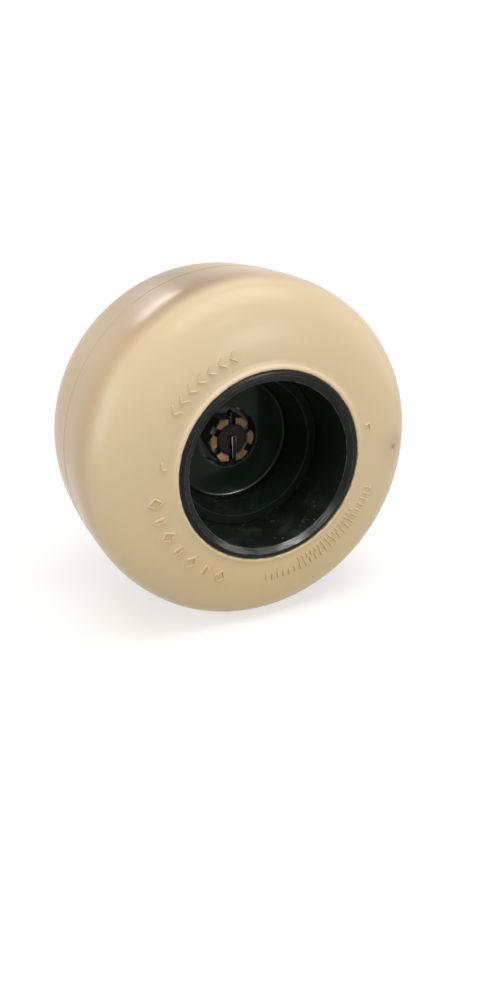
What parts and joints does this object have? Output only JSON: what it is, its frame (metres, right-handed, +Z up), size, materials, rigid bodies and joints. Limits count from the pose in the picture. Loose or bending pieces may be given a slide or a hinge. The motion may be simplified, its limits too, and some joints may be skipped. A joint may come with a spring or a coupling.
{
  "type": "solid tyre wheel",
  "caption": "Solid rubber tyre on a steel band and cast wheel centre, turning on tapered roller bearings on a stub axle, held by a slotted nut and split pin.",
  "frame": {"origin": "the wheel's centre: on its axis, midway between the two faces of the tyre", "axes": "+Y is the wheel's axis, from the near face with the nut in its dish towards the far face and the axle's shank; +Z is up"},
  "size_m": [0.2674, 0.2032, 0.2674],
  "materials": {
    "tyre_rubber": "satin beige moulded rubber",
    "band_steel": "black paint, worn to grey on the lead-in bevels",
    "black_casting": "gloss black paint on cast iron, with some dust",
    "bearing_steel": "ground",
    "roller_steel": "polished",
    "cage_steel": "pressed sheet",
    "seal_steel": "painted pressing",
    "seal_rubber": "matt black rubber",
    "spring_steel": "bright wire",
    "axle_steel": "dark, oiled and dull",
    "washer_steel": "black oxide",
    "yellow_zinc": "yellow zinc plate",
    "pin_steel": "zinc plate, dulled"
  },
  "bodies": {
    "axle": {"stub_axle": "axle_steel", "outer_cone": "bearing_steel", "inner_cone": "bearing_steel", "spindle_washer": "washer_steel", "castle_nut": "yellow_zinc", "split_pin": "pin_steel"},
    "wheel": {"tyre": "tyre_rubber", "base_band": "band_steel", "wheel_centre": "black_casting", "outer_cup": "bearing_steel", "inner_cup": "bearing_steel", "seal_case": "seal_steel", "seal_lip": "seal_rubber", "garter_spring": "spring_steel"},
    "outer_roller_set": {"outer_cage": "cage_steel", "outer_rollers": "roller_steel"},
    "inner_roller_set": {"inner_cage": "cage_steel", "inner_rollers": "roller_steel"}
  },
  "joints": [
    {"name": "wheel_spin", "type": "hinge", "parent": "axle", "child": "wheel", "pos_m": [0, 0, 0], "axis": [0, 1, 0], "continuous": true},
    {"name": "outer_roller_set_spin", "type": "hinge", "parent": "axle", "child": "outer_roller_set", "pos_m": [0, 0.025, 0], "axis": [0, 1, 0], "continuous": true},
    {"name": "inner_roller_set_spin", "type": "hinge", "parent": "axle", "child": "inner_roller_set", "pos_m": [0, 0.054, 0], "axis": [0, 1, 0], "continuous": true}
  ],
  "couplings": [
    {"joint": "outer_roller_set_spin", "follows": "wheel_spin", "ratio": 0.5782},
    {"joint": "inner_roller_set_spin", "follows": "wheel_spin", "ratio": 0.5642}
  ]
}
